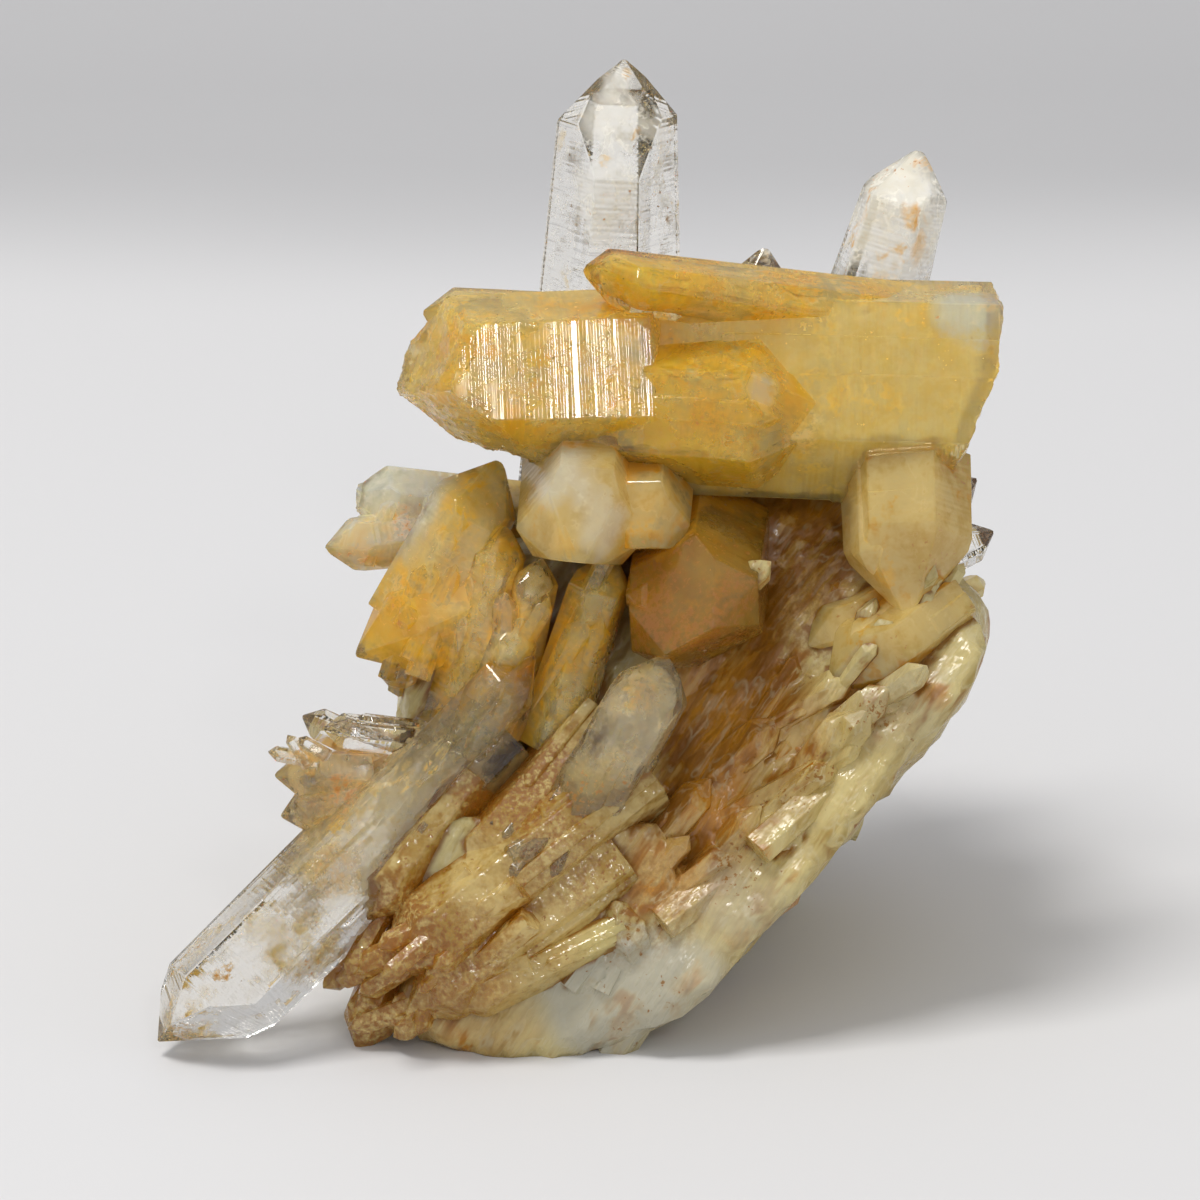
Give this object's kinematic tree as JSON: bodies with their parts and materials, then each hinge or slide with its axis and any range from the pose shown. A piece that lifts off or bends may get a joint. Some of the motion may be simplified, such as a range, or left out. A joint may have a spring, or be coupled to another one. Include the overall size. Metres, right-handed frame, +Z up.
{
  "type": "mango quartz cluster",
  "caption": "Natural cluster of honey, milky and clear quartz crystals grown together on milky quartz matrix; stands free on a broken flat underside.",
  "frame": {"origin": "on the table, in the flat broken underside that the specimen rests on", "axes": "+Z up; -Y is the front, which shows the long clear crystals low on the left and the honey crystals across the top"},
  "size_m": [0.0825, 0.0735, 0.0851],
  "materials": {
    "quartz": "polished"
  },
  "bodies": {
    "root": {"quartz_cluster": "quartz"}
  },
  "joints": []
}
